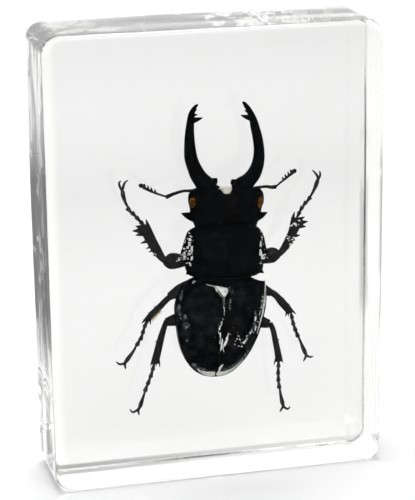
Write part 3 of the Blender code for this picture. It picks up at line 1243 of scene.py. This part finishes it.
FILMS = {
    # name: finish, pieces it lies on, kind of film, then rows of route, half widths and how torn it is
    "air_on_shield": (SILVER, SHELL, SMOOTH_FILM, [
        ([(-4.3, -1.4), (-3.2, -1.7), (-1.6, -2.1), (0.2, -2.4)], (0.1, 0.16, 0.3, 0.26), 0.5),
        ([(-1.7, -2.5), (0.8, -2.6)], (0.36, 0.36), 0.5),
        ([(-1.5, -3.0), (0.9, -3.1)], (0.4, 0.4), 0.5),
        ([(-0.8, -3.6), (0.8, -3.7)], (0.4, 0.4), 0.4),
        ([(-0.3, -4.2), (0.6, -4.3)], (0.36, 0.36), 0.3),
        ([(0.25, -4.7), (0.3, -5.3)], (0.36, 0.26), 0.3),
    ]),
    "faint_air": (FAINT_AIR_AND_HIGHLIGHT, SHELL, THIN_FILM, [
        ([(1.5, -2.5), (2.1, -3.2)], (0.6, 0.6), 0.7),
        ([(1.9, -5.1), (1.8, -6.3), (1.7, -7.6)], (0.24, 0.36, 0.26), 0.3),
        # the next four rows, down the left flank, are air films that are also a painted highlight
        ([(-9.8, -3.2), (-10.1, -4.4), (-10.2, -5.6)], (0.24, 0.5, 0.3), 0.8),
        ([(-10.6, -6.4), (-10.5, -8.2), (-10.1, -10.2)], (0.3, 0.5, 0.3), 1.2),
        ([(-9.2, -9.2), (-8.9, -11.2), (-8.6, -13.4)], (0.4, 0.8, 0.4), 1.8),
        ([(-8.5, -14.4), (-8.3, -15.4)], (0.25, 0.4), 1.6),
        ([(-6.4, -21.6), (-4.0, -23.3), (-1.2, -23.9)], (0.5, 0.9, 0.95), 0.8),
        ([(0.8, -23.9), (3.3, -23.0), (5.6, -21.2), (7.2, -18.6)], (0.9, 1.0, 0.8, 0.5), 0.8),
        ([(8.2, -8.2), (8.6, -10.6), (7.6, -13.0), (6.2, -15.2)], (0.3, 0.4, 0.4, 0.4), 1.4),
    ]),
    "air_on_seam": (SILVER, SHELL, SMOOTH_FILM, [
        ([(0.25, -4.8), (0.25, -7.0), (0.2, -9.0), (0.0, -10.3)], (0.26, 0.2, 0.17, 0.1), 0.7),
        ([(-0.4, -13.2), (-0.15, -15.0), (0.05, -16.4), (-0.1, -17.6), (-0.3, -18.6)],
         (0.13, 0.32, 0.44, 0.28, 0.1), 0.9),
        ([(1.6, -13.3), (1.4, -14.5), (1.1, -15.8), (0.6, -17.2)], (0.1, 0.24, 0.36, 0.2), 1.3),
        ([(0.3, -16.8), (0.6, -17.6), (0.9, -18.3)], (0.2, 0.16, 0.1), 0.2),
    ]),
    "air_specks": (SILVER, SHELL, BROKEN_FILM, [
        ([(-0.2, -10.6), (-0.7, -11.6), (-0.8, -12.8), (-0.4, -14.2)], (0.3, 0.42, 0.42, 0.3), 1.8),
        ([(10.3, -4.2), (10.1, -6.8), (9.6, -9.4)], (0.2, 0.4, 0.3), 2.0),
    ]),
    "air_on_tail": (SILVER, SHELL, SMOOTH_FILM, [
        ([(1.0, -21.7), (0.5, -22.5), (0.25, -23.4), (0.15, -24.5)], (0.16, 0.34, 0.24, 0.26), 0.7),
        ([(-5.2, -22.9), (-4.3, -23.6), (-2.9, -24.15), (-0.95, -24.3)], (0.12, 0.4, 0.62, 0.66), 0.3),
        ([(0.2, -24.3), (1.2, -24.2), (2.7, -23.75), (4.3, -22.8), (6.2, -20.8)],
         (0.6, 0.55, 0.4, 0.28, 0.1), 0.3),
    ]),
    "air_on_rim": (SILVER, SHELL, SMOOTH_FILM, [
        ([(10.9, -1.4), (10.95, -4.0), (10.9, -6.0), (10.6, -8.0)], (0.12, 0.24, 0.4, 0.34), 0.8),
        ([(10.6, -8.2), (10.35, -9.6), (9.9, -11.6), (9.3, -14.2)], (0.3, 0.24, 0.2, 0.1), 0.8),
    ]),
    "air_flecks": (SILVER, SHELL, SMOOTH_FILM, [
        ([(8.5, -9.8), (8.45, -10.5)], (0.26, 0.32), 0.4),
        ([(8.75, -11.9), (8.65, -13.2)], (0.12, 0.2), 0.5),
        ([(7.7, -13.0), (7.3, -13.7)], (0.2, 0.26), 0.5),
        ([(6.6, -15.0), (6.2, -15.7), (5.8, -16.2)], (0.16, 0.3, 0.26), 0.6),
        ([(-7.5, -1.2), (-6.9, -0.6), (-6.2, 0.0)], (0.14, 0.28, 0.16), 0.4),
    ]),
    "air_dots": (SILVER, SHELL, SMOOTH_FILM, [
        ([(x, y), (x + 0.1, y - 0.1)], (size, size), 0.3) for x, y, size in DOTS
    ]),
    "air_on_thorax_left": (FROTH, FLANKS, CRINKLED_FILM, [
        ([(-8.85, 11.3), (-9.0, 9.8), (-9.0, 8.2), (-9.2, 6.4), (-9.5, 5.2), (-9.3, 4.0)],
         (0.35, 0.7, 0.9, 1.0, 1.1, 0.5), 1.0),
        ([(-9.8, 5.3), (-10.7, 4.9), (-11.7, 4.1)], (0.6, 0.5, 0.16), 1.0),
    ]),
    "air_on_thorax_right": (FROTH, FLANKS, CRINKLED_FILM, [
        ([(8.9, 11.6), (9.2, 10.4), (9.1, 9.5)], (0.16, 0.3, 0.2), 0.8),
        ([(9.1, 6.0), (9.8, 5.2), (10.6, 4.6), (11.5, 3.8)], (0.5, 0.7, 0.5, 0.24), 0.9),
        ([(9.5, 8.8), (9.9, 7.2), (10.4, 5.6)], (0.12, 0.16, 0.16), 0.7),
        ([(9.3, 3.6), (9.2, 4.1)], (0.3, 0.2), 0.7),
    ]),
    "air_drops": (FROTH, FLANKS, SMOOTH_FILM, [
        ([(8.75, 9.0), (8.8, 8.1)], (0.24, 0.32), 0.3),
        ([(8.75, 7.0), (8.9, 6.0)], (0.3, 0.44), 0.3),
        ([(-8.3, 4.9), (-8.2, 5.6)], (0.3, 0.22), 0.3),
        ([(-8.3, 7.2), (-8.4, 8.0)], (0.26, 0.2), 0.3),
        ([(-8.6, 3.9), (-8.3, 3.3)], (0.26, 0.22), 0.3),
    ]),
    "air_on_shin": (FROTH, FLANKS, CRINKLED_FILM, [
        ([(15.6, 9.6), (16.4, 9.9), (17.3, 9.4)], (0.45, 0.6, 0.55), 0.9),
        ([(16.4, 9.0), (16.7, 8.2), (16.6, 7.6)], (0.4, 0.4, 0.26), 0.9),
        ([(15.2, 10.4), (15.5, 10.9)], (0.36, 0.3), 0.7),
        ([(16.4, 12.7), (16.6, 12.9)], (0.46, 0.36), 0.4),
        ([(17.3, 13.1), (18.1, 12.8)], (0.5, 0.46), 0.5),
        ([(18.2, 13.8), (18.5, 13.9)], (0.4, 0.36), 0.4),
        ([(-17.0, 6.1), (-16.8, 5.7)], (0.36, 0.26), 0.4),
    ]),
}

for number, (name, (material, names, kind, rows)) in enumerate(FILMS.items()):
    patches = [
        air_film(names, route, widths, torn, seed=10.0 * number + i, **kind)
        for i, (route, widths, torn) in enumerate(rows)
    ]
    set_in_resin(name, joined(patches), material)

BUBBLES = [
    # x, y, radius
    (4.2, -14.2, 0.24), (4.5, -14.4, 0.14), (3.6, -15.5, 0.16), (4.7, -15.2, 0.16), (5.1, -16.1, 0.14),
    (6.0, -16.3, 0.14), (5.4, -15.1, 0.1), (8.4, -12.4, 0.12), (6.3, -14.6, 0.1), (4.9, -15.7, 0.1),
    (-1.6, -14.4, 0.06), (8.9, 3.6, 0.14), (9.3, 3.9, 0.12), (-1.8, 13.9, 0.06), (2.8, -12.0, 0.07),
    (3.9, -13.3, 0.09), (-8.4, 3.2, 0.12), (-8.1, 9.6, 0.12), (-8.2, 6.9, 0.14), (9.0, 7.6, 0.1),
]

bubbles = NodeTree("bubbles", Squash="Vector")
size = bubbles.node("GeometryNodeInputNamedAttribute", {"data_type": 'FLOAT'}, {"Name": "size"})
ball = bubbles.node("GeometryNodeMeshIcoSphere", inputs={"Radius": 1.0, "Subdivisions": 3})
squash = bubbles.given("Squash")
squashed = bubbles.node("GeometryNodeTransform", inputs={"Geometry": ball, "Scale": squash})
scattered = bubbles.node(
    "GeometryNodeInstanceOnPoints",
    inputs={"Points": bubbles.given("Geometry"), "Instance": squashed, "Scale": size},
)
bubbles.end(scattered)
seats = bpy.data.meshes.new("bubble seats")
everything = SHELL + FLANKS + ("head",)
places = [(x, y, (height_on(everything, x, y) or 0.0) + 0.05) for x, y, radius in BUBBLES]
seats.from_pydata(places, [], [])
bubble_sizes = seats.attributes.new("size", 'FLOAT', 'POINT')
bubble_sizes.data.foreach_set("value", [radius for x, y, radius in BUBBLES])
flattened = bubbles.grow(seats, Finish=SILVER, Squash=(1.0, 1.0, 0.6))
set_in_resin("air_bubbles", flattened, SILVER)

# ---------------------------------------------------------------------------------------------
# Block. One casting of clear resin with the beetle sealed in its middle. Its corners are rounded
# and its rims eased. The narrow sides were polished by hand, so they are slightly wavy, and the rear
# edge that it stands on was left rough as it was ground. Painted shade darkens streaks on both
# narrow sides, the top left corner, the ground edge and the foot, painted highlight lightens the
# front edges, and the resin's tint is painted darker high up.

CORNER_RADIUS = 4.2
CORNER_STEPS = 14
RIM_RADIUS = 1.1
RIM_STEPS = 7
REAR_RIM_RADIUS = 0.7
CORNER_EASE = 0.5                 # how much broader the rims are round the corners
ROUND_POINTS = 1.1                # spacing of the points round the outline
DEPTH_POINTS = 40
FACE_RINGS = (0.1, 0.4, 0.7, 0.9, 0.985)        # rings that close a flat face, from its middle to its rim
TOP_WAVE = 0.2                    # how far each narrow side stands in or out of true, in millimetres
FOOT_WAVE = 0.04
SIDE_WAVE_HEIGHTS = (-55.0, -18.0, -6.0, 20.0, 36.0, 55.0)
SIDE_WAVES = (0.12, 0.2, 0.1, 0.08, 0.18, 0.12)
WAVES_PER_MM = (0.05, 0.14, 0.035)
RIPPLES_PER_MM = (0.15, 0.308, 0.1225)
RIPPLE_LOW = 0.1
RIPPLE_HIGH = 0.6
RIPPLED = (-2.0, 22.0)            # how far up from the middle they are strongest, and how far they reach
FLUTES_PER_MM = (0.0, 0.5, 0.02)                # upright flutes down the right side
FLUTE_DEPTH = 0.05
WAVE_SEED = Vector((0.0, 0.0, 5.0))
HELD_IN = 0.7                     # keeps the crests of the waves within the block's true size
CORNER_TRUTH = 0.8                # how much truer the corners are than the sides
RESIN_TINT_AND_PAINTED_SHADE = (                   # share of the height, and how much light comes through there, darker high up as painted shade
    (0.12, 0.82), (0.45, 0.8), (0.75, 0.73), (0.95, 0.81),
)
RESIN_DEPTH_TINT = (0.87, 0.885, 0.84, 1.0)
GROUND_HAZE = 0.35                # how rough the ground edge is
REAR_RIM_HAZE = 0.35              # the rear rim, low down on the right
REAR_CORNER_HAZE = 0.5            # and the corner where the two meet

low, high = (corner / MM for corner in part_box("resin_block"))
half_wide, half_deep, half_tall = ((high[axis] - low[axis]) / 2 for axis in range(3))
centre = (low + high) / 2


def block_outline():
    """Points round the block's front, each with the direction that faces out of it."""
    outline = []
    for turn, (sign_x, sign_z) in enumerate(((1, 1), (-1, 1), (-1, -1), (1, -1))):
        heart = Vector((sign_x * (half_wide - CORNER_RADIUS), sign_z * (half_tall - CORNER_RADIUS)))
        for i in range(CORNER_STEPS + 1):
            angle = math.pi / 2 * (turn + i / CORNER_STEPS)
            facing = Vector((math.cos(angle), math.sin(angle)))
            outline.append((heart + facing * CORNER_RADIUS, facing))
        length = 2 * ((half_wide, half_tall)[turn % 2] - CORNER_RADIUS)
        along = Vector((-facing.y, facing.x))
        start = outline[-1][0]
        count = round(length / ROUND_POINTS)
        outline += [(start + along * length * i / count, facing) for i in range(1, count)]
    return outline


def out_of_true(at, facing):
    """How far hand polishing has left a point of a narrow side from its plane."""
    wave = noise.noise(at * Vector(WAVES_PER_MM) + WAVE_SEED)
    ripple = noise.noise(at * Vector(RIPPLES_PER_MM) + WAVE_SEED)
    share = RIPPLE_LOW + (RIPPLE_HIGH - RIPPLE_LOW) * swell(at.z, *RIPPLED)
    if abs(facing.x) > abs(facing.y):
        depth = np.interp(at.z, SIDE_WAVE_HEIGHTS, SIDE_WAVES)
    else:
        depth = TOP_WAVE if facing.y > 0 else FOOT_WAVE
    flute = noise.noise(at * Vector(FLUTES_PER_MM) + WAVE_SEED) - HELD_IN if facing.x > 0.5 else 0.0
    corner = abs(2 * facing.x * facing.y)
    return (1 - CORNER_TRUTH * corner) * (depth * (wave + share * ripple - HELD_IN) + FLUTE_DEPTH * flute)


def block_mesh():
    """Rings of the outline from the front face's middle over the rim and round to the back."""
    outline = block_outline()
    turns = np.linspace(0.0, math.pi / 2, RIM_STEPS)
    rim = [(1.0, RIM_RADIUS * (1 - math.sin(turn)), RIM_RADIUS * (1 - math.cos(turn))) for turn in turns]
    face = [(share, RIM_RADIUS, 0.0) for share in FACE_RINGS]
    depths = np.linspace(RIM_RADIUS, 2 * half_deep - REAR_RIM_RADIUS, DEPTH_POINTS)[1:-1]
    sides = [(1.0, 0.0, depth) for depth in depths]
    finer = REAR_RIM_RADIUS / RIM_RADIUS
    back = [
        (share, finer * inset, 2 * half_deep - finer * depth)
        for share, inset, depth in reversed(face + rim)
    ]
    rings = []
    for share, inset, depth in face + rim + sides + back:
        ring = []
        for point, facing in outline:
            at = Vector((point.x, depth, point.y))
            polish = out_of_true(at, facing) * (1 - inset / RIM_RADIUS)
            eased = inset * (1 + CORNER_EASE * abs(2 * facing.x * facing.y))
            spot = (point - facing * (eased - polish)) * share
            ring.append(centre + Vector((spot.x, depth - half_deep, spot.y)))
        rings.append(ring)
    return skin(rings)


resin = Finish("clear resin", Transmission_Weight=1.0, IOR=1.5)
split = resin.node("ShaderNodeSeparateXYZ", inputs={0: resin.place()}).output.node
wide, deep, tall = (Signal(resin, output) / MM for output in split.outputs)
from_left, from_front, from_foot = wide - low.x, deep - low.y, tall - low.z
from_right, from_back, from_top = high.x - wide, high.y - deep, high.z - tall
up = tall - centre.z


def streaks(per_mm, seed, low_edge, high_edge):
    """Patches of noise, drawn out as the given numbers to the millimetre ask for."""
    scaled = resin.node(
        "ShaderNodeVectorMath", {"operation": 'MULTIPLY_ADD'},
        {0: resin.place(), 1: tuple(value / MM for value in per_mm), 2: (seed, seed, seed)},
    )
    inputs = {"Vector": scaled, "Scale": 1.0, "Detail": 3.0, "Distortion": 0.4}
    return resin.node("ShaderNodeTexNoise", inputs=inputs).ramp(low_edge, high_edge)


def between(signal, start, end, soft):
    """1 from start to end, and 0 a little outside them."""
    return signal.ramp(start - soft, start) * signal.ramp(end + soft, end)


# where each mark lies, in millimetres from the block's faces or up from its middle
# painted highlight: lighter bands inside the front left and front right edges
painted_edge_highlight = (from_left.ramp(3.4, 0.8) + from_right.ramp(4.8, 4.3)) * from_front.ramp(1.2, 0.0)
left_side = from_left.ramp(1.6, 0.7) * from_front.ramp(0.9, 1.8)
# painted shade: very dark streaks on the left side near the front, over its middle height
painted_left_streaks = left_side * between(up, -16.0, 18.0, 14.0) * from_front.ramp(13.0, 8.0)
# painted shade: a darker band down the middle height of the left side
painted_left_shade = left_side * between(up, -16.0, 18.0, 20.0)
# painted shade: dark upright streaks down the right side, laid over its real flutes
painted_right_streaks = from_right.ramp(1.6, 0.7) * between(up, -16.0, 20.0, 8.0)
# painted shade: a dark patch at the top left corner of the front
painted_corner_shade = from_left.ramp(6.0, 3.5) * from_top.ramp(5.0, 3.0) * from_front.ramp(0.2, 1.0)
foot = from_foot.ramp(1.7, 1.0) * from_back.ramp(2.4, 1.7)
fading = 1.0 - 0.6 * from_left.ramp(0.0, 2 * half_wide)
# the rear foot edge: left rough as ground, and darkened with painted shade
ground_edge_and_painted_shade = foot * streaks((0.03, 0.1, 0.3), 4.0, 0.1, 0.45) * fading
rear_rim = from_right.ramp(2.6, 1.6) * from_back.ramp(2.4, 1.4) * up.ramp(2.0, -14.0)
rear_corner = from_right.ramp(5.5, 4.0) * from_back.ramp(2.6, 1.6) * from_foot.ramp(5.5, 4.0)
MARKS = (
    # where it is, how strong it is, and its colour
    # painted highlight inside the front edges
    (painted_edge_highlight, 1.0, (1.0, 1.0, 0.98)),
    # painted shade on the left side
    (painted_left_shade * streaks((0.1, 0.1, 0.05), 8.0, 0.2, 0.5), 0.8, (0.15, 0.16, 0.165)),
    # painted shade down the right side
    (painted_right_streaks * streaks((0.1, 0.7, 0.03), 6.0, 0.42, 0.5), 0.6, (0.08, 0.08, 0.08)),
    # painted shade: dark streaks on the left side
    (painted_left_streaks * streaks((0.1, 0.25, 0.12), 3.0, 0.4, 0.56), 0.95, (0.02, 0.022, 0.02)),
    # painted shade at the top left corner
    (painted_corner_shade * streaks((0.5, 0.12, 0.5), 2.0, 0.44, 0.52), 1.0, (0.008, 0.01, 0.008)),
    # painted shade along the rear foot edge
    (ground_edge_and_painted_shade, 0.9, (0.1, 0.1, 0.1)),
    # a greenish darker layer along the foot: the resin's tint there, and painted shade on the band seen
    # through it
    (from_foot.ramp(0.5, 0.1), 0.6, (0.62, 0.66, 0.54)),
)

# the resin's tint by height, darkest three quarters of the way up as painted shade
height = from_foot.ramp(0.0, 2 * half_tall) + 0.04 * resin.noise(0.08, 2.0)
colour = height.colours(*((stop, (tint, tint, 0.997 * tint)) for stop, tint in RESIN_TINT_AND_PAINTED_SHADE))
for mark, strength, tint in MARKS:
    colour = resin.over(colour, strength * mark, tint)
hazy = GROUND_HAZE * ground_edge_and_painted_shade + REAR_RIM_HAZE * rear_rim + REAR_CORNER_HAZE * rear_corner
resin.set(Base_Color=colour, Roughness=hazy)
absorbed = resin.node("ShaderNodeVolumeAbsorption", inputs={"Color": RESIN_DEPTH_TINT, "Density": 3.0})
resin.feed(resin.tree.nodes["Material Output"].inputs["Volume"], absorbed)

block_skin = block_mesh()
block_skin.transform(Matrix.Scale(MM, 4))
block_skin.shade_smooth()
block_skin.materials.append(resin.material)
casting = bpy.data.objects.new("resin_casting", block_skin)
bpy.context.scene.collection.objects.link(casting)
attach(casting, "root")
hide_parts("resin_block")

# ---------------------------------------------------------------------------------------------
# Floor and light. A white paper floor without a seam, under broad soft light that is brightest at
# both ends of the studio and dark by the camera. A grey strip stands low down behind, and two
# softboxes light the floor behind the block and, from low in front, the films of air.

FLOOR_REACH = 4.0                 # metres
SKY = 0.66                        # brightness straight above, of which the next three are shares
SKY_ENDS = 2.3
BELOW_BEHIND = 1.9
BELOW_IN_FRONT = 0.02
STRIP = -0.268                    # how far below the horizon the grey strip stands
STRIP_EDGES = (0.03, 0.055)
STRIP_GREY = 0.8
TOP_PLACE = (0.0, 0.22, 0.86)
TOP_AIM = (0.0, 0.15, 0.0)
TOP_SIZE = 0.5
TOP_WATTS = 3.4
FRONT_PLACE = (-0.5, -0.9, 0.16)
FRONT_AIM = (0.0, 0.0, 0.1)
FRONT_SIZE = 0.3
FRONT_WATTS = 2.0

floor_mesh = bpy.data.meshes.new("floor")
bm = bmesh.new()
bmesh.ops.create_grid(bm, x_segments=1, y_segments=1, size=FLOOR_REACH)
bm.to_mesh(floor_mesh)
bm.free()
paper = Finish("white paper", Roughness=0.9)
paper.set(Base_Color=paper.noise(0.02).colours((0.3, (0.955, 0.955, 0.955)), (0.7, (0.97, 0.97, 0.97))))
floor_mesh.materials.append(paper.material)
floor = bpy.data.objects.new("floor", floor_mesh)
bpy.context.scene.collection.objects.link(floor)
floor.visible_glossy = False      # the polished front mirrors the dark studio, not the paper


class Studio(Finish):
    """The world round the floor, whose maths feeds its background."""

    def __init__(self, name):
        self.world = bpy.data.worlds.new(name)
        self.world.use_nodes = True
        self.tree = self.world.node_tree
        self.shader = self.tree.nodes["Background"]

    def graded(self, signal, start, end, least, most):
        """A brightness that goes evenly from least at start to most at end."""
        inputs = {"Value": signal, "From Min": start, "From Max": end, "To Min": least, "To Max": most}
        return self.node("ShaderNodeMapRange", inputs=inputs)


studio = Studio("soft studio")
looked = studio.node("ShaderNodeTexCoord", output="Generated")
split = studio.node("ShaderNodeSeparateXYZ", inputs={0: looked}).output.node
back, upwards = (Signal(studio, split.outputs[axis]) for axis in "YZ")
strip = studio.graded(abs(upwards - STRIP), *STRIP_EDGES, STRIP_GREY, BELOW_BEHIND)
below = studio.graded(back, -0.5, 0.1, BELOW_IN_FRONT, strip)
above = studio.graded(abs(back), 0.5, 0.9, 1.0, SKY_ENDS)
studio.set(Color=studio.graded(upwards, -0.02, 0.02, below, above), Strength=SKY)
bpy.context.scene.world = studio.world


def softbox(name, place, aim, size, power):
    """A square soft light at place, pointed at aim, in metres and watts."""
    light = bpy.data.lights.new(name, 'AREA')
    light.size = size
    light.energy = power
    lamp = bpy.data.objects.new(name, light)
    lamp.location = place
    lamp.rotation_euler = (Vector(aim) - Vector(place)).to_track_quat('-Z', 'Y').to_euler()
    bpy.context.scene.collection.objects.link(lamp)


softbox("top light", TOP_PLACE, TOP_AIM, TOP_SIZE, TOP_WATTS)
softbox("front light", FRONT_PLACE, FRONT_AIM, FRONT_SIZE, FRONT_WATTS)

# ---------------------------------------------------------------------------------------------
# Camera. A long lens half a metre away, a little to the left of the block and above it, turned by
# a fraction of a degree, so that the whole block stands in the picture as in the photograph.

EYE_LEVEL = 54.25
YAW = math.radians(14.3)
PITCH = math.radians(15.81)
ROLL = math.radians(-0.69)
DISTANCE = 507.8
FILM_HEIGHT = 36.0
LENS = 150.9

aim = Vector((0.0, 0.0, EYE_LEVEL)) * MM
away = Vector((-math.sin(YAW) * math.cos(PITCH), -math.cos(YAW) * math.cos(PITCH), math.sin(PITCH)))
across = (-away).cross(Vector((0.0, 0.0, 1.0))).normalized()
upright = across.cross(-away)
tilted_across = across * math.cos(ROLL) + upright * math.sin(ROLL)
tilted_upright = upright * math.cos(ROLL) - across * math.sin(ROLL)
camera_data = bpy.data.cameras.new("camera")
camera_data.sensor_fit = 'VERTICAL'
camera_data.sensor_height = FILM_HEIGHT
camera_data.lens = LENS
camera = bpy.data.objects.new("camera", camera_data)
camera.matrix_world = Matrix.Translation(aim + away * DISTANCE * MM) @ Matrix(
    (tilted_across, tilted_upright, away)
).transposed().to_4x4()
bpy.context.scene.collection.objects.link(camera)
bpy.context.scene.camera = camera
bpy.context.scene.view_settings.view_transform = 'Standard'
bpy.context.scene.cycles.max_bounces = 24            # light turns many times between polished faces
bpy.context.scene.cycles.glossy_bounces = 16
bpy.context.scene.cycles.transmission_bounces = 24
bpy.context.scene.cycles.blur_glossy = 0.0           # keeps the light that passes through to the floor
